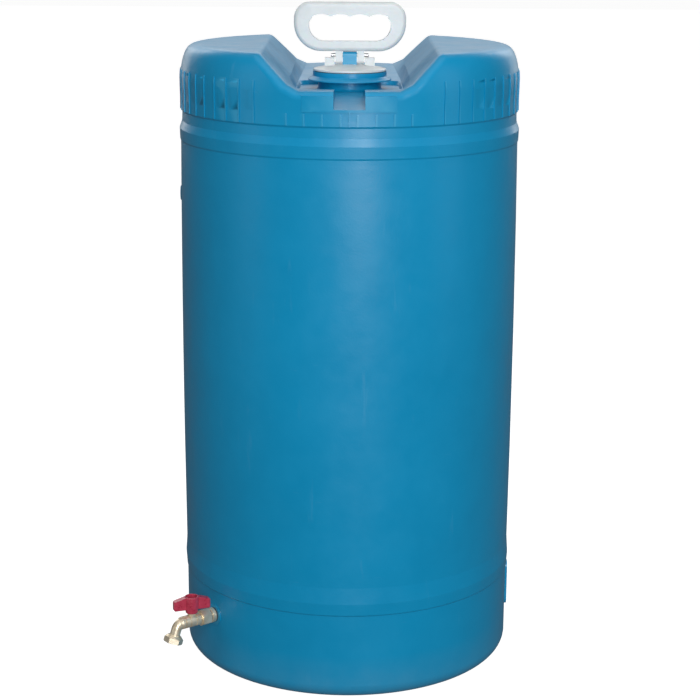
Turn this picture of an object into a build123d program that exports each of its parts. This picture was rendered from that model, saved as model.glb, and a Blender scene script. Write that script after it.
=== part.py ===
from build123d import *
import os
from math import cos, sin, radians, sqrt

# ---------------------------------------------------------------- drum
BODY_R = 183.5            # radius of the wall at its upper end
WALL_LOW_OUT = 0.5        # the wall's lower end is wider by this
BODY_CROWN = 1.2          # how much the wall swells between its ends
DRUM_H = 684.0            # floor to the tops of the two ears
WALL = 3.6
FOOT_OUT = 0.0            # foot against the wall's upper end
FOOT_EDGE_R = 16.0
BASE_GROOVE = (62.0, 112.0)
BASE_GROOVE_DEPTH = 1.6
HOOP_LO_Z = 96.0          # under side of the lower hoop
HOOP_LO_H = 32.0
HOOP_LO_PROUD = 1.7
HOOP_LO_CREST = 14.0      # height of its widest place above its under side
HOOP_HI_DROP = 102.2      # under side of the upper hoop, below the ear tops
HOOP_HI_H = 21.0
HOOP_HI_PROUD = 1.2
HOOP_HI_CREST = 13.0
BAND_SETBACK = 1.6        # wall between hoop and rib band
BAND_H = 33.0             # hoop under side to the ledge of the rib band
BAND_LEDGE = 1.1
BAND_LEAN = 2.0           # the rib band leans in by this towards the top
EAR_EDGE_R = 18.0
EAR_EDGE_CUT = 0.29       # where the rounded edge crosses its corner's diagonal

# saddle channel between the ears, as half widths and drops below the ear tops
EAR_HALF = 91.0           # where the ear's flat top ends
FOLD_HALF = 62.4          # where steep and shallow slopes meet
FOLD_DROP = 29.5
LIP_HALF = 49.0
LIP_DROP = 34.0
DECK_DROP = 44.7          # inner end of the sloping deck
FLOOR_DROP = 49.0         # floor round the neck
BASIN_X = 57.0
BASIN_Y = 52.0
BASIN_CORNER_R = 14.0
FOLD_ROUND = 8.0
SPOUT_HALF = 15.8         # notch in the front lip
SPOUT_DROP = 53.0
PANEL_HALF = 47.5
PANEL_PROUD = 0.9
PANEL_GAP = 2.0           # panel's foot above the short ribs

RIB_STEP_DEG = 5.8
RIB_START_DEG = 2.7
RIB_W = 1.7
RIB_PROUD = 0.9
RIB_LONG_H = 43.0
RIB_SHORT_H = 12.0
RIB_LONG_FROM = 5         # ribs per quarter: the fifth place and up are long
RIB_PLACES = 16
RIB_GAP_PLACE = 4         # this place has no rib

BOSS_Z = (39.5, 92.4)
BOSS_W = 15.0
BOSS_PROUD = 2.4
DISC_Z_DROP = 164.0
DISC_R = 8.0
DISC_PROUD = 0.7
BEAD_W = 1.0
BEAD_PROUD = 0.35

# ---------------------------------------------------------------- neck and plug
NECK_R = 34.3
NECK_BORE_R = 30.8
SKIRT_R = 45.2
SKIRT_H = 4.2
FINISH_R = 40.0
NECK_TOP_DROP = 29.7      # neck top, below the ear tops
FINISH_H = 5.2
GASKET_T = 0.8
PLUG_FLANGE_R = 39.5
PLUG_FLANGE_T = 2.2
PLUG_DOME = 4.2           # rise of the plug's top from rim to middle
PLUG_DEPTH = 15.0
PLUG_WALL = 2.6
THREAD_PITCH = 4.0
THREAD_DEPTH = 1.2
THREAD_GAP = 0.35

# ---------------------------------------------------------------- handle
PIVOT_RISE = 13.9         # pin axis above the plug's flange
PIN_R = 2.0
PIN_HALF = 20.5
PIN_FIT = 0.05
BLOCK_HALF = 7.6
BLOCK_T = 7.8
BLOCK_SINK = 1.2          # the block stands this deep in the plug
LEG_OUT = 15.6
LEG_SIDE_GAP = 0.4
LEG_T = 8.0
LEG_REACH = 9.3           # pin axis to the legs' lower ends
REST_OUT = 27.0
REST_T = 7.0
REST_H = 11.5             # rest tops above the plug's flange
REST_GAP = 1.0            # between a rest and its leg
LOOP_W = 120.8
LOOP_H = 52.6
LOOP_T = 13.0
LOOP_SIDE = 16.1
LOOP_TOP = 15.8           # down to the points between the finger hollows
LOOP_BOTTOM = 10.8
LOOP_LIFT = 4.3           # loop's under side above the pin axis
LOOP_R_LOW = 30.0         # corner radii of the loop and of its hole
LOOP_R_HIGH = 17.5
HOLE_R_LOW = 16.8
HOLE_R_HIGH = 9.0
LOOP_RIM_R = 4.0
SCALLOPS = 4
SCALLOP_DEPTH = 2.6

# ---------------------------------------------------------------- spigot
SPIGOT_DEG = 217.5        # heading of the spigot about the drum's axis
SPIGOT_Z = 68.5
PAD_R = 12.0
PAD_PROUD = 0.5
SHANK_R = 6.5             # inlet bushing, outside
SHANK_GAP = 0.2
SHANK_L = 13.0            # from the collar back into the drum
BORE_R = 3.0
WASHER_T = 1.2
WASHER_R = 8.0
COLLAR_R = 8.2
COLLAR_T = 5.2
TAIL_R = 4.7
TAIL_L = 9.0
O_RING_T = 1.2
O_RING_R = 7.4
NUT_AF = 19.0
NUT_T = 5.0
HEX_AF = 16.4
HEX_L = 10.6
BARREL_R = 6.9
BARREL_L = 23.0
GROOVE_PLACES = (1.84, 7.59, 15.18, 21.39)      # from the hexagon's end
GROOVE_W = 1.2
GROOVE_DEPTH = 0.7
BALL_R = 4.5
BALL_BORE_R = 2.6
BALL_FROM_HEX = 10.7      # ball centre, from the end of the hexagon
CHAMBER_GAP = 0.3
SEAT_T = 1.6
ELBOW_R = 8.0
ELBOW_DEG = 70.0
SPOUT_R = 5.6
SPOUT_L = 10.0
HOSE_AF = 18.4
HOSE_T = 8.5
HOSE_BORE_R = 7.475
HOSE_GRIP = 3.0           # overlap of the collar on the spout
OUT_WASHER_R = 6.9        # flat washer in a pocket behind the hose thread
OUT_WASHER_T = 1.2
OUT_WASHER_SINK = 0.15
OUT_BORE_GAP = 0.4
STEM_R = 2.0
STEM_FIT = 0.05
TANG_T = 1.6
SQUARE = 2.6
STUD_R = 1.2
BONNET_R = 4.6
BONNET_H = 8.6            # bonnet top above the pipe axis
GLAND_R = 4.4
GLAND_T = 2.6
LEVER_DEG = -18.0         # the lever's heading against the pipe
LEVER_SPAN = 41.0
HUB_R = 8.0
HUB_FOOT_R = 6.6
HUB_LOW = 9.2             # hub foot above the pipe axis
HUB_H = 19.0
HUB_SKIRT_H = 10.5        # height at which the hub reaches its full radius
HUB_CUP_R = 6.2
HUB_CUP_H = 7.0
HUB_WEB_T = 5.0
WING_T = 7.0
WING_ROOT_H = 14.0
WING_TIP_H = 10.0
LEVER_GAP = 0.3

# stations along the pipe, measured outwards from the drum's wall
U_COLLAR = PAD_PROUD + WASHER_T
U_RING = U_COLLAR + COLLAR_T
U_HEX = U_RING + O_RING_T
U_BARREL = U_HEX + HEX_L
U_BALL = U_BARREL + BALL_FROM_HEX
U_BEND = U_BARREL + BARREL_L
CHAMBER_R = BALL_R + CHAMBER_GAP


def offset_path(points, t):
    """Move an open path sideways by t, to its left."""
    moved = []
    for (x0, y0), (x1, y1) in zip(points, points[1:]):
        run = sqrt((x1 - x0) ** 2 + (y1 - y0) ** 2)
        nx, ny = -(y1 - y0) / run * t, (x1 - x0) / run * t
        moved.append(((x0 + nx, y0 + ny), (x1 + nx, y1 + ny)))
    result = [moved[0][0]]
    for (a, b), (c, d) in zip(moved, moved[1:]):
        ux, uy = b[0] - a[0], b[1] - a[1]
        vx, vy = d[0] - c[0], d[1] - c[1]
        k = ((c[0] - a[0]) * vy - (c[1] - a[1]) * vx) / (ux * vy - uy * vx)
        result.append((a[0] + ux * k, a[1] + uy * k))
    result.append(moved[-1][1])
    return result


def spun(points, plane=Plane.XZ):
    """Solid of revolution from a closed (r, z) outline."""
    outline = make_face(Polyline(*points, close=True))
    return revolve(plane * outline, Axis.Z)


def tube(r_out, r_in, z0, z1):
    ring = Circle(r_out) - Circle(r_in) if r_in > 0 else Circle(r_out)
    return extrude(Plane.XY.offset(z0) * ring, amount=z1 - z0)


def drum_body(t):
    """Outside of the drum before the saddle is cut, set in by t."""
    foot = BODY_R + FOOT_OUT - t
    low = BODY_R + WALL_LOW_OUT - t
    high = BODY_R - t
    crest_lo = foot + HOOP_LO_PROUD
    crest_hi = high + HOOP_HI_PROUD
    z_lo = HOOP_LO_Z
    z_hi = DRUM_H - HOOP_HI_DROP
    band = BODY_R - BAND_SETBACK - t
    top = DRUM_H - t
    edge = EAR_EDGE_R
    cut = edge * EAR_EDGE_CUT
    lean = band + BAND_LEDGE - BAND_LEAN
    belly = (low + high) / 2 + BODY_CROWN
    inner, outer = BASE_GROOVE
    line = [
        Polyline((0, t), (inner, t), (inner + 3, t + BASE_GROOVE_DEPTH),
                 (outer - 3, t + BASE_GROOVE_DEPTH), (outer, t), (foot - FOOT_EDGE_R, t)),
        RadiusArc((foot - FOOT_EDGE_R, t), (foot, FOOT_EDGE_R + t), -FOOT_EDGE_R),
        Polyline((foot, FOOT_EDGE_R + t), (foot, z_lo), (foot + 0.9, z_lo + 1.4),
                 (crest_lo, z_lo + HOOP_LO_CREST), (low, z_lo + HOOP_LO_H)),
        ThreePointArc((low, z_lo + HOOP_LO_H), (belly, (z_lo + z_hi) / 2), (high, z_hi - 6)),
        Polyline((high, z_hi - 6), (high, z_hi - 0.5), (high + 0.8, z_hi + 1.2),
                 (crest_hi, z_hi + HOOP_HI_CREST), (band, z_hi + HOOP_HI_H),
                 (band - 0.2, z_hi + BAND_H - 2), (band + BAND_LEDGE, z_hi + BAND_H)),
        Spline((band + BAND_LEDGE, z_hi + BAND_H), (lean, top - edge),
               (lean - cut, top - cut), (lean - edge, top),
               tangents=((-BAND_LEAN, DRUM_H - z_hi - BAND_H - edge), (-1, 0))),
        Polyline((lean - edge, top), (0, top), (0, t)),
    ]
    return revolve(Plane.XZ * make_face(line), Axis.Z)


def saddle_section(y, half_flat, z_flat, t):
    """Cross-section of the channel at one station along its length."""
    fold = (FOLD_HALF, DRUM_H - FOLD_DROP)
    slope = (EAR_HALF - FOLD_HALF) / FOLD_DROP
    right = [(half_flat, z_flat), fold, (EAR_HALF + slope * 60, DRUM_H + 60)]
    path = [(-x, z) for x, z in reversed(right)] + right
    path = offset_path(path, -t)
    return Plane.XZ.offset(-y) * make_face(Polyline(*path, close=True))


def saddle_cutter(t):
    """The channel through the head, enlarged by t for the inside of the wall."""
    deck_z = DRUM_H - DECK_DROP
    far = BODY_R * 1.15
    rise = (DECK_DROP - LIP_DROP) / (BODY_R - BASIN_Y)
    shrink = (BASIN_X - LIP_HALF) / (BODY_R - BASIN_Y)
    far_z = deck_z + rise * (far - BASIN_Y)
    far_half = BASIN_X - shrink * (far - BASIN_Y)
    stations = [(-far, far_half, far_z), (-BASIN_Y, BASIN_X, deck_z),
                (BASIN_Y, BASIN_X, deck_z), (far, far_half, far_z)]
    cut = loft([saddle_section(y, half, z, t) for y, half, z in stations], ruled=True)
    floor_z = DRUM_H - FLOOR_DROP - t
    low = Plane.XY.offset(floor_z) * RectangleRounded(2 * (BASIN_X + t) - 6, 2 * (BASIN_Y + t) - 4,
                                                      BASIN_CORNER_R)
    high = Plane.XY.offset(deck_z + 2) * RectangleRounded(2 * (BASIN_X + t), 2 * (BASIN_Y + t),
                                                          BASIN_CORNER_R)
    return cut + loft([low, high])


def head_edges(body):
    """Edges where the channel breaks out through the drum's wall and the ear tops."""
    chosen = []
    for edge in body.edges():
        mid = edge @ 0.5
        reach = sqrt(mid.X ** 2 + mid.Y ** 2)
        if mid.Z < DRUM_H - LIP_DROP - 3 or edge.geom_type == GeomType.CIRCLE:
            continue
        if abs(mid.X) < EAR_HALF + 1 and reach > BODY_R * 0.86:
            chosen.append(edge)
        elif abs(mid.Y) < 1 and abs(abs(mid.X) - EAR_HALF) < 1 and mid.Z > DRUM_H - 1:
            chosen.append(edge)
    return chosen


def export(shape, name):
    export_step(shape, f"parts/{name}.step")


def neck_solid():
    """Outside of the neck: barrel, skirt with a drooping edge, and finish."""
    top = DRUM_H - NECK_TOP_DROP
    skirt_top = top - FINISH_H
    base = DRUM_H - FLOOR_DROP - 1.0
    return spun([(0, base), (NECK_R + 2, base), (NECK_R, base + 3), (NECK_R, skirt_top - SKIRT_H + 1.2),
                 (NECK_R + 3, skirt_top - SKIRT_H + 1.2), (SKIRT_R, skirt_top - SKIRT_H),
                 (SKIRT_R, skirt_top - SKIRT_H + 1.2), (FINISH_R + 0.5, skirt_top),
                 (FINISH_R, skirt_top + 0.6), (FINISH_R, top), (0, top)])


def ribs():
    """Raised moulding lines on the band, short ones under the lip and long ones on the ears."""
    start = DRUM_H - HOOP_HI_DROP + BAND_H
    bars = []
    for place in range(RIB_PLACES):
        if place == RIB_GAP_PLACE:
            continue
        height = RIB_LONG_H if place >= RIB_LONG_FROM else RIB_SHORT_H
        angle = RIB_START_DEG + RIB_STEP_DEG * place
        bar = Pos(BODY_R, 0, start + height / 2) * Box(12, RIB_W, height)
        for heading in (angle, 180 - angle, 180 + angle, 360 - angle):
            bars.append(Rot(Z=heading + 90) * bar)
    return drum_body(-RIB_PROUD) & Compound(bars)


def lip_panel():
    """Slightly raised panel under the front lip."""
    low = DRUM_H - HOOP_HI_DROP + BAND_H + RIB_SHORT_H + PANEL_GAP
    high = DRUM_H - LIP_DROP - 5
    box = Pos(0, -BODY_R, (low + high) / 2) * Box(2 * PANEL_HALF, 60, high - low)
    return box & drum_body(-PANEL_PROUD) - drum_body(WALL / 2)


def spout_cutter(t):
    """Notch through the front deck and lip, from the floor round the neck outwards."""
    floor_z = DRUM_H - FLOOR_DROP
    lip_z = DRUM_H - SPOUT_DROP
    far = BODY_R + 20
    side = [(-far, lip_z - t), (-BASIN_Y + 6, floor_z + 1 - t), (-BASIN_Y + 6, DRUM_H), (-far, DRUM_H)]
    slot = extrude(Plane.YZ * make_face(Polyline(*side, close=True)), amount=SPOUT_HALF + t, both=True)
    return slot


def bosses():
    """Plain raised marks: an upright pad low on the right, a small disc high on the left."""
    foot = BODY_R + FOOT_OUT
    mid = (BOSS_Z[0] + BOSS_Z[1]) / 2
    tall = BOSS_Z[1] - BOSS_Z[0]
    pad = extrude(Plane.YZ * SlotOverall(tall, BOSS_W, rotation=90), amount=6)
    pad = Pos(foot + BOSS_PROUD - 6, 0, mid) * pad
    disc = extrude(Plane.YZ * Circle(DISC_R), amount=-8)
    disc = Pos(-(BODY_R + BODY_CROWN + DISC_PROUD) + 8, 0, DRUM_H - DISC_Z_DROP) * disc
    return [pad, disc]


def spigot_place(shape):
    """From the spigot's own frame (X outwards, Z up) to the drum's."""
    return Rot(Z=SPIGOT_DEG) * Pos(BODY_R + FOOT_OUT, 0, SPIGOT_Z) * shape


def along_x(r_out, r_in, x0, x1):
    ring = Circle(r_out) - Circle(r_in) if r_in > 0 else Circle(r_out)
    return extrude(Plane.YZ.offset(x0) * ring, amount=x1 - x0)


def parting_bead():
    """Fine seam line down the neck and over the panel."""
    top = DRUM_H - NECK_TOP_DROP
    skirt_top = top - FINISH_H
    floor_z = DRUM_H - FLOOR_DROP
    low = extrude(Plane.XY.offset(floor_z) * Rectangle(BEAD_W, 2 * (NECK_R + BEAD_PROUD)),
                  amount=skirt_top - SKIRT_H + 1 - floor_z)
    high = extrude(Plane.XY.offset(skirt_top + 0.5) * Rectangle(BEAD_W, 2 * (FINISH_R + BEAD_PROUD)),
                   amount=FINISH_H - 0.8)
    start = DRUM_H - HOOP_HI_DROP + BAND_H
    tall = DRUM_H - SPOUT_DROP - 2 - start
    slab = Pos(0, -BODY_R, start + tall / 2) * Box(BEAD_W, 12, tall)
    return [low, high, slab & drum_body(-PANEL_PROUD - BEAD_PROUD)]


def make_drum_shell():
    outside = drum_body(0) - saddle_cutter(0)
    outside = fillet(head_edges(outside), FOLD_ROUND)
    outside = outside + lip_panel()
    outside = outside - spout_cutter(0)
    outside = outside + ribs() + bosses()
    pad = spigot_place(along_x(PAD_R, 0, -WALL - 1.2, PAD_PROUD))
    outside = outside + neck_solid() + parting_bead()
    inside = drum_body(WALL) - saddle_cutter(WALL) - spout_cutter(WALL)
    bore_z = DRUM_H - FLOOR_DROP - WALL - 8
    bore = tube(NECK_BORE_R, 0, bore_z, DRUM_H - NECK_TOP_DROP + 1)
    shell = outside - (inside + bore) + pad
    return shell - spigot_place(along_x(SHANK_R + SHANK_GAP, 0, -12, 6))


# ---------------------------------------------------------------- closure

def flange_z():
    return DRUM_H - NECK_TOP_DROP + GASKET_T


def dome_z(r):
    """Height of the plug's domed top at radius r."""
    return flange_z() + PLUG_FLANGE_T + PLUG_DOME * (1 - (r / PLUG_FLANGE_R) ** 2)


def plug_blank():
    """The plug turned round its axis, with thread rings and a domed top."""
    top = DRUM_H - NECK_TOP_DROP
    face = flange_z() + PLUG_FLANGE_T
    crest = NECK_BORE_R - THREAD_GAP
    root = crest - THREAD_DEPTH
    low = top - PLUG_DEPTH
    core = root - PLUG_WALL
    path = [(core, low), (root, low)]
    z = low + 1.0
    while z + THREAD_PITCH * 0.7 < top - 2:
        path += [(root, z), (crest, z + 0.8), (crest, z + 1.7), (root, z + 2.5)]
        z += THREAD_PITCH
    path += [(root, top - 1.2), (crest, top - 0.6), (crest, flange_z()), (PLUG_FLANGE_R, flange_z()),
             (PLUG_FLANGE_R, face - 0.6), (PLUG_FLANGE_R - 0.6, face)]
    crown_z = face + PLUG_DOME
    mid = (PLUG_FLANGE_R - 0.6) / 2
    outline = [
        Polyline(*path),
        ThreePointArc(path[-1], (mid, face + PLUG_DOME * 0.75), (0, crown_z)),
        Line((0, crown_z), (0, crown_z - PLUG_WALL)),
        ThreePointArc((0, crown_z - PLUG_WALL), (core / 2, crown_z - PLUG_WALL - PLUG_DOME * 0.13),
                      (core, crown_z - PLUG_WALL - PLUG_DOME * 0.5)),
        Line((core, crown_z - PLUG_WALL - PLUG_DOME * 0.5), path[0]),
    ]
    return revolve(Plane.XZ * make_face(outline), Axis.Z)


def make_closure_plug():
    face = flange_z() + PLUG_FLANGE_T
    width = REST_OUT - LEG_OUT - REST_GAP
    rest = extrude(Plane.XY.offset(face - 0.5) * Rectangle(width, REST_T), amount=REST_H + 0.5)
    rest = chamfer(rest.edges().group_by(Axis.Z)[-1], 0.8)
    plug = plug_blank()
    for side in (-1, 1):
        plug = plug + Pos(side * (REST_OUT + LEG_OUT + REST_GAP) / 2, 0, 0) * rest
    low = dome_z(0) - BLOCK_SINK
    return plug - Plane.XY.offset(low) * extrude(Rectangle(2 * BLOCK_HALF, BLOCK_T), amount=3)


def make_closure_gasket():
    top = DRUM_H - NECK_TOP_DROP
    return tube(PLUG_FLANGE_R - 1.0, NECK_BORE_R + 0.2, top, top + GASKET_T)


def pivot_z():
    return flange_z() + PLUG_FLANGE_T + PIVOT_RISE


def make_hinge_block():
    low = dome_z(0) - BLOCK_SINK
    slab = Pos(0, 0, low) * extrude(Rectangle(2 * BLOCK_HALF, BLOCK_T), amount=pivot_z() - low)
    crown = Pos(0, 0, pivot_z()) * along_x(BLOCK_T / 2, 0, -BLOCK_HALF, BLOCK_HALF)
    hole = Pos(0, 0, pivot_z()) * along_x(PIN_R + PIN_FIT, 0, -BLOCK_HALF - 1, BLOCK_HALF + 1)
    return slab + crown - hole


def make_handle_pin():
    pin = Pos(0, 0, pivot_z()) * along_x(PIN_R, 0, -PIN_HALF, PIN_HALF)
    return chamfer(pin.edges().filter_by(GeomType.CIRCLE), 0.4)


def loop_face(half_w, low, high, r_low, r_high):
    outline = make_face(Polyline((-half_w, low), (half_w, low), (half_w, high), (-half_w, high), close=True))
    corners = outline.vertices()
    lower = [v for v in corners if v.Y < (low + high) / 2]
    outline = fillet(lower, r_low)
    upper = [v for v in outline.vertices() if v.Y > high - 0.01]
    return fillet(upper, r_high)


def make_carry_handle():
    low = pivot_z() + LOOP_LIFT
    high = low + LOOP_H
    half = LOOP_W / 2
    outer = loop_face(half, low, high, LOOP_R_LOW, LOOP_R_HIGH)
    hole_half = half - LOOP_SIDE
    hole = loop_face(hole_half, low + LOOP_BOTTOM, high - LOOP_TOP, HOLE_R_LOW, HOLE_R_HIGH)
    lobe_w = 2 * (hole_half - 3) / SCALLOPS
    lobe_r = (lobe_w ** 2 / 4 + SCALLOP_DEPTH ** 2) / (2 * SCALLOP_DEPTH)
    for i in range(SCALLOPS):
        x = (i - (SCALLOPS - 1) / 2) * lobe_w
        lobe = Pos(x, high - LOOP_TOP + SCALLOP_DEPTH - lobe_r) * Circle(lobe_r)
        hole = hole + (lobe & Pos(x, high - LOOP_TOP) * Rectangle(lobe_w, 2 * SCALLOP_DEPTH))
    loop = extrude(Plane.XZ * outer, amount=LOOP_T / 2, both=True)
    rims = [e for e in loop.edges() if abs(abs((e @ 0.5).Y) - LOOP_T / 2) < 0.01]
    loop = fillet(rims, LOOP_RIM_R)
    loop = loop - extrude(Plane.XZ * hole, amount=LOOP_T, both=True)
    leg_in = BLOCK_HALF + LEG_SIDE_GAP
    reach = LEG_REACH
    for side in (-1, 1):
        x0, x1 = sorted((side * leg_in, side * LEG_OUT))
        leg = extrude(Plane.YZ.offset(x0) * Pos(0, pivot_z() - reach + LEG_T / 2) * Circle(LEG_T / 2),
                      amount=x1 - x0)
        bar = Pos((x0 + x1) / 2, 0, (pivot_z() - reach + LEG_T / 2 + low + 4) / 2)
        loop = loop + leg + bar * Box(x1 - x0, LEG_T, low + 4 - pivot_z() + reach - LEG_T / 2)
    return loop - Pos(0, 0, pivot_z()) * along_x(PIN_R, 0, -LEG_OUT - 1, LEG_OUT + 1)


# ---------------------------------------------------------------- spigot parts, X outwards from the wall

def turned(points):
    """Solid of revolution about X from a closed (x, r) outline."""
    outline = Plane.XZ * make_face(Polyline(*points, close=True))
    return revolve(outline, Axis.X)


def hex_x(across, x0, x1):
    """Hexagon prism along X with a corner upwards."""
    outline = Plane.YZ.offset(x0) * RegularPolygon(across / sqrt(3), 6, rotation=90)
    cone = across / sqrt(3)
    prism = extrude(outline, amount=x1 - x0)
    trim = turned([(x0, 0), (x0, cone - 0.9), (x0 + 0.8, cone), (x1 - 0.8, cone), (x1, cone - 0.9), (x1, 0)])
    return prism & trim


def make_wall_gasket_outer():
    return along_x(WASHER_R, SHANK_R + 0.1, PAD_PROUD, U_COLLAR)


def inner_face():
    return -WALL - 1.2


def make_wall_gasket_inner():
    return along_x(WASHER_R, SHANK_R + 0.1, inner_face() - WASHER_T, inner_face())


def make_lock_nut():
    x1 = inner_face() - WASHER_T
    return hex_x(NUT_AF, x1 - NUT_T, x1) - along_x(SHANK_R, 0, x1 - NUT_T - 1, x1 + 1)


def make_inlet_bushing():
    back = U_COLLAR - SHANK_L
    body = turned([(back, 0), (back, SHANK_R - 0.8), (back + 0.8, SHANK_R), (U_COLLAR, SHANK_R),
                   (U_COLLAR, COLLAR_R - 0.6), (U_COLLAR + 0.6, COLLAR_R), (U_RING - 1.2, COLLAR_R),
                   (U_RING, COLLAR_R - 1.4), (U_RING, TAIL_R), (U_RING + TAIL_L, TAIL_R),
                   (U_RING + TAIL_L, 0)])
    return body - along_x(BORE_R, 0, back - 1, U_RING + TAIL_L + 1)


def make_nipple_o_ring():
    mid = (U_RING + U_HEX) / 2
    ring = turned([(U_RING, TAIL_R), (U_RING, O_RING_R - 0.3), (mid, O_RING_R), (U_HEX, O_RING_R - 0.3),
                   (U_HEX, TAIL_R)])
    return ring


def bend_end():
    a = radians(ELBOW_DEG)
    return U_BEND + ELBOW_R * sin(a), -ELBOW_R * (1 - cos(a))


def spout_path(extra):
    a = radians(ELBOW_DEG)
    end = bend_end()
    tip = (end[0] + cos(a) * (SPOUT_L + extra), end[1] - sin(a) * (SPOUT_L + extra))
    bend = Plane.XZ * CenterArc((U_BEND, -ELBOW_R), ELBOW_R, 90, -ELBOW_DEG)
    run = Plane.XZ * Line(end, tip)
    return bend, run


def spout_solid(r, extra):
    """Round bar that follows the elbow and the spout."""
    bend, run = spout_path(extra)
    arc = sweep(Plane.YZ.offset(U_BEND) * Circle(r), path=bend)
    a = radians(ELBOW_DEG)
    end = bend_end()
    plane = Plane(origin=(end[0], 0, end[1]), z_dir=(cos(a), 0, -sin(a)), x_dir=(0, 1, 0))
    return arc + extrude(plane * Circle(r), amount=SPOUT_L + extra)


def outlet_plane():
    """At the end of the spout, facing out of it."""
    a = radians(ELBOW_DEG)
    end = bend_end()
    origin = (end[0] + cos(a) * SPOUT_L, 0, end[1] - sin(a) * SPOUT_L)
    return Plane(origin=origin, z_dir=(cos(a), 0, -sin(a)), x_dir=(0, 1, 0))


def barrel_outline():
    """Ringed outside of the valve's barrel as (x, r) points."""
    x0, x1 = U_BARREL, U_BEND + 0.6
    path = [(x0 - 0.5, 0), (x0 - 0.5, BARREL_R)]
    places = [U_BARREL + far for far in GROOVE_PLACES]
    for x in places:
        path += [(x - GROOVE_W / 2, BARREL_R), (x - GROOVE_W / 4, BARREL_R - GROOVE_DEPTH),
                 (x + GROOVE_W / 4, BARREL_R - GROOVE_DEPTH), (x + GROOVE_W / 2, BARREL_R)]
    return path + [(x1, BARREL_R), (x1, 0)]


def make_valve_body():
    seat_end = U_BALL + BALL_R + 0.6
    body = hex_x(HEX_AF, U_HEX, U_BARREL) + turned(barrel_outline()) + spout_solid(SPOUT_R, 0)
    bend_ball = turned([(U_BEND - 1, 0), (U_BEND - 1, BARREL_R), (U_BEND + 1.5, BARREL_R),
                        (U_BEND + 4, SPOUT_R - 0.5), (U_BEND + 4, 0)])
    bonnet = Pos(U_BALL, 0, 0) * extrude(Circle(BONNET_R), amount=BONNET_H)
    body = body + bend_ball + bonnet
    body = body - along_x(TAIL_R, 0, U_HEX - 1, U_RING + TAIL_L)
    body = body - along_x(CHAMBER_R, 0, U_RING + TAIL_L - 0.5, seat_end)
    body = body - along_x(BORE_R, 0, seat_end - 1, U_BEND + 0.1) - spout_solid(BORE_R, 1)
    return body - Pos(U_BALL, 0, 0) * extrude(Circle(STEM_R + STEM_FIT), amount=BONNET_H + 1)


def seat_span(side):
    """A seat ring's ends along the pipe, against the ball on one side."""
    flat = BALL_R + 0.6
    if side < 0:
        return U_BALL - flat, U_BALL - flat + SEAT_T
    return U_BALL + flat - SEAT_T, U_BALL + flat


def make_seat_ring(side):
    x0, x1 = seat_span(side)
    ring = along_x(CHAMBER_R, BORE_R, x0, x1)
    return ring - Pos(U_BALL, 0, 0) * Sphere(BALL_R + 0.05)


def make_seat_retainer():
    x0 = U_RING + TAIL_L - 0.5
    x1 = seat_span(-1)[0]
    return along_x(CHAMBER_R, BORE_R, x0 + 0.5, x1)


def lever_turn(shape):
    return Pos(U_BALL, 0, 0) * Rot(Z=LEVER_DEG) * shape


def make_valve_ball():
    ball = Sphere(BALL_R) - along_x(BALL_BORE_R, 0, -BALL_R - 1, BALL_R + 1)
    slot = Pos(0, 0, BALL_R) * Box(BALL_R * 2, TANG_T + 0.1, 2.4)
    return lever_turn(ball - slot)


def stem_top():
    return HUB_LOW + HUB_H - HUB_CUP_H


def make_valve_stem():
    tang_low = BALL_R - 1.1
    web_low = stem_top() - HUB_WEB_T
    stem = extrude(Plane.XY.offset(BALL_R + 0.1) * Circle(STEM_R), amount=web_low - BALL_R - 0.1)
    tang = extrude(Plane.XY.offset(tang_low) * Rectangle(STEM_R * 1.7, TANG_T), amount=1.6)
    drive = extrude(Plane.XY.offset(web_low) * Rectangle(SQUARE, SQUARE), amount=HUB_WEB_T - 0.3)
    stud = extrude(Plane.XY.offset(web_low) * Circle(STUD_R), amount=HUB_WEB_T + 3.6)
    grooves = [tube(STEM_R + 1, STEM_R - 0.5, z, z + 0.9) for z in seal_places()]
    return lever_turn((stem + tang + drive + stud) - grooves)


def seal_places():
    return [BALL_R + 1.0, BALL_R + 2.6]


def make_stem_o_rings():
    low, high = [tube(STEM_R, STEM_R - 0.5, z, z + 0.9) for z in seal_places()]
    return lever_turn(low + high)


def make_packing_nut():
    ring = tube(GLAND_R, STEM_R + STEM_FIT, BONNET_H, BONNET_H + GLAND_T)
    return Pos(U_BALL, 0, 0) * ring


def make_tee_handle():
    web_low = stem_top() - HUB_WEB_T
    top = HUB_LOW + HUB_H
    hub = spun([(0, HUB_LOW), (HUB_FOOT_R - 0.6, HUB_LOW), (HUB_FOOT_R, HUB_LOW + 0.6),
                (HUB_R, HUB_LOW + HUB_SKIRT_H), (HUB_R, top - 0.8), (HUB_R - 0.8, top), (0, top)])
    wing_low = HUB_LOW + 4.6
    side = [(2, wing_low), (LEVER_SPAN / 2, wing_low), (LEVER_SPAN / 2, wing_low + WING_TIP_H),
            (HUB_R - 1, wing_low + WING_ROOT_H), (2, wing_low + WING_ROOT_H)]
    wing = extrude(Plane.XZ * make_face(Polyline(*side, close=True)), amount=WING_T / 2, both=True)
    tip_edges = [e for e in wing.edges() if abs((e @ 0.5).X - LEVER_SPAN / 2) < 0.1]
    wing = chamfer(tip_edges, 1.2)
    lever = hub + wing + Rot(Z=180) * wing
    lever = lever - tube(HUB_CUP_R, 0, stem_top(), top + 1)
    lever = lever - tube(GLAND_R + LEVER_GAP + 0.4, 0, HUB_LOW - 1, web_low)
    drive = extrude(Plane.XY.offset(web_low - 1) * Rectangle(SQUARE, SQUARE), amount=HUB_WEB_T + 2)
    return lever_turn(lever - drive)


def make_lever_washer():
    return lever_turn(tube(3.4, STUD_R, stem_top(), stem_top() + 0.8))


def make_lever_nut():
    low = stem_top() + 0.8
    nut = extrude(Plane.XY.offset(low) * RegularPolygon(2.9, 6), amount=2.0)
    return lever_turn(nut - tube(STUD_R, 0, low - 1, low + 4))


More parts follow.
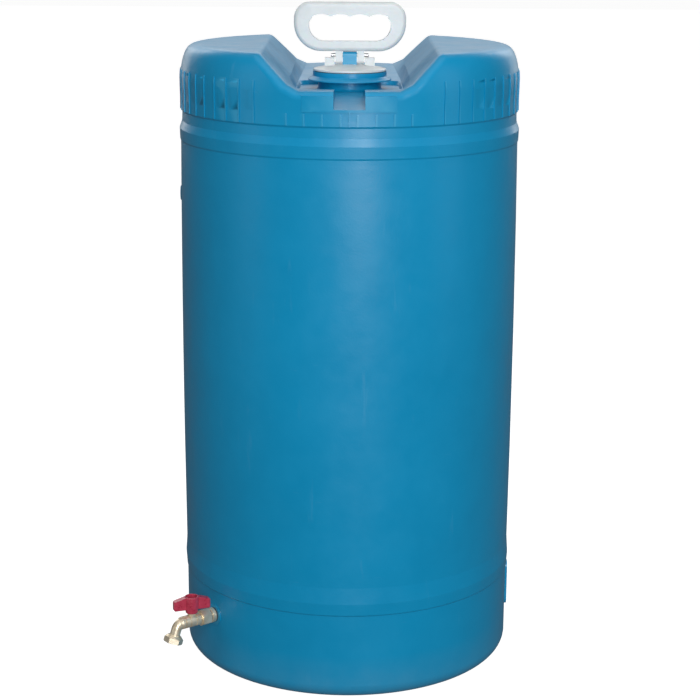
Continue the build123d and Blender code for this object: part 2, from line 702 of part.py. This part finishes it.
def make_hose_collar():
    plane = outlet_plane()
    back = -HOSE_GRIP
    corner = HOSE_AF / sqrt(3)
    prism = extrude(plane.offset(back) * RegularPolygon(corner, 6), amount=HOSE_T)
    trim_outline = [(0, back), (SPOUT_R + 1.8, back), (corner - 1.6, back + 1.8), (corner, back + 3.2),
                    (corner, back + HOSE_T - 0.8), (corner - 0.8, back + HOSE_T), (0, back + HOSE_T)]
    shape = prism & plane.location * spun(trim_outline)
    pocket = OUT_WASHER_T + OUT_WASHER_SINK
    shape = shape - extrude(plane.offset(back - 1) * Circle(SPOUT_R), amount=HOSE_GRIP + 1)
    shape = shape - extrude(plane * Circle(OUT_WASHER_R), amount=pocket)
    return shape - extrude(plane.offset(pocket) * Circle(HOSE_BORE_R), amount=HOSE_T)


def make_outlet_washer():
    ring = Circle(OUT_WASHER_R) - Circle(BORE_R + OUT_BORE_GAP)
    return extrude(outlet_plane() * ring, amount=OUT_WASHER_T)


def main():
    os.makedirs("parts", exist_ok=True)
    upright = {
        "drum_shell": make_drum_shell(),
        "closure_plug": make_closure_plug(),
        "closure_gasket": make_closure_gasket(),
        "hinge_block": make_hinge_block(),
        "handle_pin": make_handle_pin(),
        "carry_handle": make_carry_handle(),
    }
    spigot = {
        "inlet_bushing": make_inlet_bushing(),
        "wall_gasket_outer": make_wall_gasket_outer(),
        "wall_gasket_inner": make_wall_gasket_inner(),
        "lock_nut": make_lock_nut(),
        "nipple_o_ring": make_nipple_o_ring(),
        "valve_body": make_valve_body(),
        "seat_retainer": make_seat_retainer(),
        "seat_ring_inlet": make_seat_ring(-1),
        "seat_ring_outlet": make_seat_ring(1),
        "valve_ball": make_valve_ball(),
        "valve_stem": make_valve_stem(),
        "stem_o_rings": make_stem_o_rings(),
        "packing_nut": make_packing_nut(),
        "tee_handle": make_tee_handle(),
        "lever_washer": make_lever_washer(),
        "lever_nut": make_lever_nut(),
        "hose_collar": make_hose_collar(),
        "outlet_washer": make_outlet_washer(),
    }
    for name, shape in upright.items():
        export(shape, name)
    for name, shape in spigot.items():
        export(spigot_place(shape), name)


main()
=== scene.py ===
import bpy
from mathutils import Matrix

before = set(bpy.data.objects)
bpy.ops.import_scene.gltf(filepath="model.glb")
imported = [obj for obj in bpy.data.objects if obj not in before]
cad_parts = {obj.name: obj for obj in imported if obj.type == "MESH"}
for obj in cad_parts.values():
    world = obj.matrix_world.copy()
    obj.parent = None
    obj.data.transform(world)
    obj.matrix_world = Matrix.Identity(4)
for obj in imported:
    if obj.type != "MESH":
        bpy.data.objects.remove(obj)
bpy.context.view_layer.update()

import bpy
import math
from mathutils import Matrix, Vector

scene = bpy.context.scene

# ------------------------------------------------------------------ camera, light and floor

CAM_SIDE = 0.0022        # camera right of the drum's axis, in metres
CAM_BACK = 1.928
CAM_HIGH = 0.821
CAM_PITCH = 13.95        # degrees below level
CAM_ROLL = 0.36          # degrees about the line of sight
CAM_LENS = 90.57         # mm, on a 36 mm sensor

WORLD_LIGHT = 0.13       # fill from all round
WORLD_SEEN = 0.97        # the world as the camera sees it
FLOOR_HALF = 14.0        # half the floor's width, in metres
FLOOR_SINK = 0.0002      # floor below the drum's base
FLOOR_GREY = 0.30
FLOOR_GLOW = 0.96

# name, place, aim, width and height, watts
LIGHTS = [
    ("front_strip", (0.36, -2.7, 1.25), (0, 0, 0.42), (0.42, 1.7), 60),
    ("overhead", (0.0, -0.3, 2.4), (0, 0, 0), (2.4, 2.0), 14),
    ("back_panel", (0.0, 1.45, 1.35), (0, 0, 0.75), (2.8, 0.8), 11),
    ("rear_left", (-1.5, 2.3, 1.2), (0, 0, 0.35), (0.7, 1.7), 8),
    ("rear_right", (1.5, 2.3, 1.2), (0, 0, 0.35), (0.7, 1.7), 8),
    ("side_left", (-2.3, -1.0, 1.0), (0, 0, 0.35), (0.8, 1.8), 4.5),
    ("side_right", (2.3, -1.0, 1.0), (0, 0, 0.35), (0.8, 1.8), 4.5),
]


def make_camera():
    data = bpy.data.cameras.new("camera")
    data.lens = CAM_LENS
    data.sensor_width = 36.0
    data.clip_start = 0.05
    data.clip_end = 50.0
    cam = bpy.data.objects.new("camera", data)
    tilt = Matrix.Rotation(math.radians(90 - CAM_PITCH), 4, "X")
    roll = Matrix.Rotation(math.radians(CAM_ROLL), 4, "Z")
    cam.matrix_world = Matrix.Translation((CAM_SIDE, -CAM_BACK, CAM_HIGH)) @ tilt @ roll
    scene.collection.objects.link(cam)
    scene.camera = cam


def area_light(name, place, aim, size, power):
    data = bpy.data.lights.new(name, "AREA")
    data.shape = "RECTANGLE"
    data.size, data.size_y = size
    data.energy = power
    lamp = bpy.data.objects.new(name, data)
    lamp.location = place
    lamp.visible_camera = False
    lamp.rotation_euler = (Vector(aim) - Vector(place)).to_track_quat("-Z", "Y").to_euler()
    scene.collection.objects.link(lamp)


def make_world():
    """Dim white fill, seen as a pale backdrop by the camera alone."""
    world = bpy.data.worlds.new("studio")
    world.use_nodes = True
    nodes = world.node_tree.nodes
    links = world.node_tree.links
    fill = nodes["Background"]
    fill.inputs["Color"].default_value = (1.0, 1.0, 1.0, 1)
    fill.inputs["Strength"].default_value = WORLD_LIGHT
    seen = nodes.new("ShaderNodeBackground")
    seen.inputs["Color"].default_value = (WORLD_SEEN, WORLD_SEEN, WORLD_SEEN, 1)
    path = nodes.new("ShaderNodeLightPath")
    pick = nodes.new("ShaderNodeMixShader")
    links.new(path.outputs["Is Camera Ray"], pick.inputs[0])
    links.new(fill.outputs[0], pick.inputs[1])
    links.new(seen.outputs[0], pick.inputs[2])
    links.new(pick.outputs[0], nodes["World Output"].inputs["Surface"])
    scene.world = world


def make_floor():
    """Plain pale floor, lit a little from within so that it stays even."""
    mesh = bpy.data.meshes.new("floor")
    half = FLOOR_HALF
    corners = [(-half, -half), (half, -half), (half, half), (-half, half)]
    mesh.from_pydata([(x, y, -FLOOR_SINK) for x, y in corners], [], [(0, 1, 2, 3)])
    floor = bpy.data.objects.new("floor", mesh)
    scene.collection.objects.link(floor)
    mat = bpy.data.materials.new("floor_paper")
    mat.use_nodes = True
    bsdf = mat.node_tree.nodes["Principled BSDF"]
    bsdf.inputs["Base Color"].default_value = (FLOOR_GREY, FLOOR_GREY, FLOOR_GREY, 1)
    bsdf.inputs["Roughness"].default_value = 0.9
    bsdf.inputs["Emission Color"].default_value = (1, 1, 1, 1)
    bsdf.inputs["Emission Strength"].default_value = FLOOR_GLOW
    mesh.materials.append(mat)
    floor.visible_diffuse = False
    floor.visible_glossy = False


# ------------------------------------------------------------------ shader helpers

class Shader:
    """A material's node tree, with short calls for the nodes used here."""

    def __init__(self, name):
        self.mat = bpy.data.materials.new(name)
        self.mat.use_nodes = True
        self.tree = self.mat.node_tree
        self.bsdf = self.tree.nodes["Principled BSDF"]
        coord = self.tree.nodes.new("ShaderNodeTexCoord")
        self.place = coord.outputs["Object"]

    def node(self, kind, **inputs):
        made = self.tree.nodes.new(kind)
        for key, value in inputs.items():
            made.inputs[key].default_value = value
        return made

    def link(self, a, b):
        self.tree.links.new(a, b)

    def noise(self, scale, detail=3.0, rough=0.55, stretch=None):
        made = self.node("ShaderNodeTexNoise", Scale=scale, Detail=detail, Roughness=rough)
        if stretch:
            mapping = self.tree.nodes.new("ShaderNodeMapping")
            mapping.inputs["Scale"].default_value = stretch
            self.link(self.place, mapping.inputs["Vector"])
            self.link(mapping.outputs["Vector"], made.inputs["Vector"])
        else:
            self.link(self.place, made.inputs["Vector"])
        return made.outputs["Fac"]

    def ramp(self, source, stops):
        made = self.tree.nodes.new("ShaderNodeValToRGB")
        elements = made.color_ramp.elements
        while len(elements) < len(stops):
            elements.new(0.5)
        for element, (place, colour) in zip(elements, stops):
            element.position = place
            element.color = colour if len(colour) == 4 else (*colour, 1)
        self.link(source, made.inputs["Fac"])
        return made.outputs["Color"]

    def span(self, source, low, high, from_low=0.3, from_high=0.7):
        made = self.tree.nodes.new("ShaderNodeMapRange")
        made.inputs["From Min"].default_value = from_low
        made.inputs["From Max"].default_value = from_high
        made.inputs["To Min"].default_value = low
        made.inputs["To Max"].default_value = high
        self.link(source, made.inputs["Value"])
        return made.outputs["Result"]

    def mix(self, factor, a, b, blend="MIX"):
        made = self.tree.nodes.new("ShaderNodeMix")
        made.data_type = "RGBA"
        made.blend_type = blend
        self.put(factor, made.inputs[0])
        self.put(a, made.inputs[6])
        self.put(b, made.inputs[7])
        return made.outputs[2]

    def math(self, kind, a, b=None):
        made = self.tree.nodes.new("ShaderNodeMath")
        made.operation = kind
        self.put(a, made.inputs[0])
        if b is not None:
            self.put(b, made.inputs[1])
        return made.outputs[0]

    def put(self, value, socket):
        if isinstance(value, bpy.types.NodeSocket):
            self.link(value, socket)
        elif isinstance(value, tuple) and len(value) == 3:
            socket.default_value = (*value, 1)
        else:
            socket.default_value = value

    def edges(self, low, high):
        """0 in corners and on flats, 1 on sharp outer edges."""
        geometry = self.tree.nodes.new("ShaderNodeNewGeometry")
        return self.span(geometry.outputs["Pointiness"], 0.0, 1.0, low, high)

    def corner_shade(self, low, high):
        """1 in inner corners, 0 elsewhere; the mask for painted shade in corners."""
        geometry = self.tree.nodes.new("ShaderNodeNewGeometry")
        return self.span(geometry.outputs["Pointiness"], 1.0, 0.0, low, high)

    def axis(self, name):
        split = self.tree.nodes.new("ShaderNodeSeparateXYZ")
        self.link(self.place, split.inputs[0])
        return split.outputs[name]

    def streaks(self, scale, stretch, low, high):
        """Sparse thin marks, longer in one direction."""
        marks = self.noise(scale, 3.0, 0.6, stretch)
        return self.span(marks, 0.0, 1.0, low, high)

    def bump(self, height, strength, distance, base=None):
        made = self.tree.nodes.new("ShaderNodeBump")
        made.inputs["Strength"].default_value = strength
        made.inputs["Distance"].default_value = distance
        self.link(height, made.inputs["Height"])
        if base is not None:
            self.link(base, made.inputs["Normal"])
        return made.outputs["Normal"]

    def finish(self, **sockets):
        for key, value in sockets.items():
            self.put(value, self.bsdf.inputs[key.replace("_", " ")])
        return self.mat


# ------------------------------------------------------------------ materials

def blue_polyethylene():
    """Blow-moulded drum wall: cloudy colour, orange peel, scuffs, rubbed edges, painted shade in the
    corners and dust low down.
    """
    s = Shader("blue_polyethylene")
    broad = s.noise(5.0, 4.0, 0.6)
    cloud = s.noise(30.0, 5.0, 0.65)
    colour = s.ramp(broad, [(0.30, (0.000, 0.238, 0.462)), (0.70, (0.000, 0.262, 0.505))])
    colour = s.mix(s.span(cloud, 0.0, 0.25), colour, (0.000, 0.290, 0.545))
    scuffs = s.streaks(26.0, (3.5, 3.5, 0.5), 0.66, 0.80)
    rubs = s.streaks(60.0, (0.7, 0.7, 6.0), 0.70, 0.82)
    colour = s.mix(s.math("MULTIPLY", scuffs, 0.16), colour, (0.10, 0.36, 0.58))
    colour = s.mix(s.math("MULTIPLY", rubs, 0.14), colour, (0.14, 0.38, 0.58))
    colour = s.mix(s.math("MULTIPLY", s.edges(0.52, 0.60), 0.3), colour, (0.08, 0.42, 0.63))
    # painted shade: darker blue in inner corners and between the ribs
    colour = s.mix(s.math("MULTIPLY", s.corner_shade(0.40, 0.47), 0.45), colour, (0.00, 0.110, 0.215))
    dust = s.math("MULTIPLY", s.span(s.axis("Z"), 1.0, 0.0, 0.0, 0.05), cloud)
    colour = s.mix(s.math("MULTIPLY", dust, 0.35), colour, (0.16, 0.26, 0.33))
    normal = s.bump(s.noise(22.0, 2.0, 0.5), 0.14, 0.004)
    normal = s.bump(s.noise(420.0, 2.0, 0.5), 0.12, 0.0006, normal)
    rough = s.math("ADD", s.span(cloud, 0.30, 0.42), s.math("MULTIPLY", scuffs, 0.15))
    return s.finish(Base_Color=colour, Roughness=rough, Normal=normal, IOR=1.5, Specular_IOR_Level=0.42)


def milky_polyethylene():
    """Translucent white moulding: soft inside scatter, rubbed edges and painted shade in the corners."""
    s = Shader("milky_polyethylene")
    cloud = s.noise(45.0, 4.0, 0.6)
    colour = s.ramp(cloud, [(0.3, (0.60, 0.645, 0.655)), (0.7, (0.70, 0.735, 0.74))])
    # painted shade: grey in inner corners
    colour = s.mix(s.math("MULTIPLY", s.corner_shade(0.38, 0.48), 0.5), colour, (0.36, 0.43, 0.46))
    colour = s.mix(s.math("MULTIPLY", s.edges(0.53, 0.62), 0.3), colour, (0.80, 0.82, 0.82))
    marks = s.streaks(90.0, (1.0, 1.0, 5.0), 0.66, 0.8)
    colour = s.mix(s.math("MULTIPLY", marks, 0.25), colour, (0.50, 0.53, 0.53))
    normal = s.bump(s.noise(160.0, 3.0, 0.5), 0.12, 0.001)
    normal = s.bump(s.noise(900.0, 2.0, 0.5), 0.12, 0.0004, normal)
    return s.finish(Base_Color=colour, Roughness=s.span(cloud, 0.30, 0.46), Normal=normal,
                    Subsurface_Weight=0.12, Subsurface_Scale=0.004)


def pale_brass():
    """Cast and turned brass: champagne colour, painted shade in the corners, bright edges and tool marks.
    """
    s = Shader("pale_brass")
    cloud = s.noise(130.0, 5.0, 0.65)
    colour = s.ramp(cloud, [(0.28, (0.76, 0.62, 0.42)), (0.55, (0.88, 0.77, 0.58)),
                            (0.8, (0.93, 0.85, 0.70))])
    # painted shade: dark brown in inner corners and grooves
    colour = s.mix(s.math("MULTIPLY", s.corner_shade(0.36, 0.49), 0.85), colour, (0.14, 0.085, 0.035))
    colour = s.mix(s.math("MULTIPLY", s.edges(0.52, 0.60), 0.6), colour, (0.95, 0.88, 0.72))
    spots = s.span(s.noise(520.0, 2.0, 0.5), 0.0, 1.0, 0.64, 0.74)
    colour = s.mix(s.math("MULTIPLY", spots, 0.35), colour, (0.40, 0.26, 0.13))
    normal = s.bump(s.noise(700.0, 4.0, 0.6), 0.3, 0.0005)
    rough = s.math("ADD", s.span(cloud, 0.30, 0.46), s.math("MULTIPLY", spots, 0.2))
    return s.finish(Base_Color=colour, Metallic=0.72, Roughness=rough, Normal=normal)


def red_enamel():
    """Dipped red coating over the casting, chipped to pale metal at its edges."""
    s = Shader("red_enamel")
    cloud = s.noise(200.0, 3.0, 0.6)
    colour = s.ramp(cloud, [(0.3, (0.40, 0.026, 0.060)), (0.7, (0.54, 0.050, 0.100))])
    # painted shade: darker red in inner corners
    colour = s.mix(s.math("MULTIPLY", s.corner_shade(0.38, 0.48), 0.6), colour, (0.12, 0.006, 0.016))
    chips = s.math("MULTIPLY", s.edges(0.53, 0.62), s.span(s.noise(420.0, 4.0, 0.7), 0.0, 1.0, 0.5, 0.62))
    colour = s.mix(s.math("MULTIPLY", chips, 0.7), colour, (0.62, 0.42, 0.40))
    normal = s.bump(s.noise(380.0, 2.0, 0.5), 0.22, 0.0006)
    return s.finish(Base_Color=colour, Roughness=s.span(cloud, 0.24, 0.40), Normal=normal, Coat_Weight=0.25)


def black_rubber():
    """Dull black seal rubber, rubbed grey on its edges."""
    s = Shader("black_rubber")
    fine = s.noise(1800.0, 3.0, 0.6)
    colour = s.ramp(fine, [(0.3, (0.012, 0.012, 0.013)), (0.7, (0.03, 0.03, 0.03))])
    colour = s.mix(s.math("MULTIPLY", s.edges(0.53, 0.62), 0.4), colour, (0.09, 0.09, 0.09))
    return s.finish(Base_Color=colour, Roughness=s.span(fine, 0.5, 0.75), Normal=s.bump(fine, 0.2, 0.0003))


def zinc_steel():
    """Zinc-plated steel of the pin, washer and nut."""
    s = Shader("zinc_steel")
    fine = s.noise(900.0, 3.0, 0.6)
    cloud = s.noise(300.0, 4.0, 0.6)
    colour = s.ramp(cloud, [(0.3, (0.44, 0.44, 0.45)), (0.7, (0.64, 0.64, 0.65))])
    # painted shade: darker grey in inner corners
    colour = s.mix(s.math("MULTIPLY", s.corner_shade(0.38, 0.48), 0.5), colour, (0.16, 0.14, 0.12))
    return s.finish(Base_Color=colour, Metallic=1.0, Roughness=s.span(fine, 0.25, 0.45),
                    Normal=s.bump(fine, 0.15, 0.0002))


def white_ptfe():
    """Smooth white seat rings."""
    s = Shader("white_ptfe")
    fine = s.noise(700.0, 3.0, 0.6)
    colour = s.ramp(fine, [(0.3, (0.82, 0.82, 0.80)), (0.7, (0.9, 0.9, 0.88))])
    return s.finish(Base_Color=colour, Roughness=s.span(fine, 0.4, 0.6), Normal=s.bump(fine, 0.1, 0.0003))


def plated():
    """Bright plated ball."""
    s = Shader("plated")
    fine = s.noise(1200.0, 3.0, 0.6)
    colour = s.ramp(fine, [(0.3, (0.78, 0.78, 0.78)), (0.7, (0.86, 0.86, 0.86))])
    return s.finish(Base_Color=colour, Metallic=1.0, Roughness=s.span(fine, 0.08, 0.18),
                    Normal=s.bump(fine, 0.05, 0.0002))


def dress(mat, *nodes):
    """Give carried-over CAD nodes a material, without touching their meshes."""
    for node in nodes:
        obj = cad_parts[node]
        obj.data.materials.clear()
        obj.data.materials.append(mat)


def dress_all():
    dress(blue_polyethylene(), "drum_shell", "hinge_block")
    dress(milky_polyethylene(), "closure_plug", "carry_handle")
    dress(pale_brass(), "inlet_bushing", "lock_nut", "valve_body", "seat_retainer", "valve_stem",
          "packing_nut", "hose_collar")
    dress(red_enamel(), "tee_handle")
    dress(black_rubber(), "closure_gasket", "wall_gasket_outer", "wall_gasket_inner", "nipple_o_ring",
          "stem_o_rings", "outlet_washer")
    dress(zinc_steel(), "handle_pin", "lever_washer", "lever_nut")
    dress(white_ptfe(), "seat_ring_inlet", "seat_ring_outlet")
    dress(plated(), "valve_ball")


scene.view_settings.view_transform = "Standard"
make_camera()
make_world()
for light in LIGHTS:
    area_light(*light)
make_floor()
dress_all()
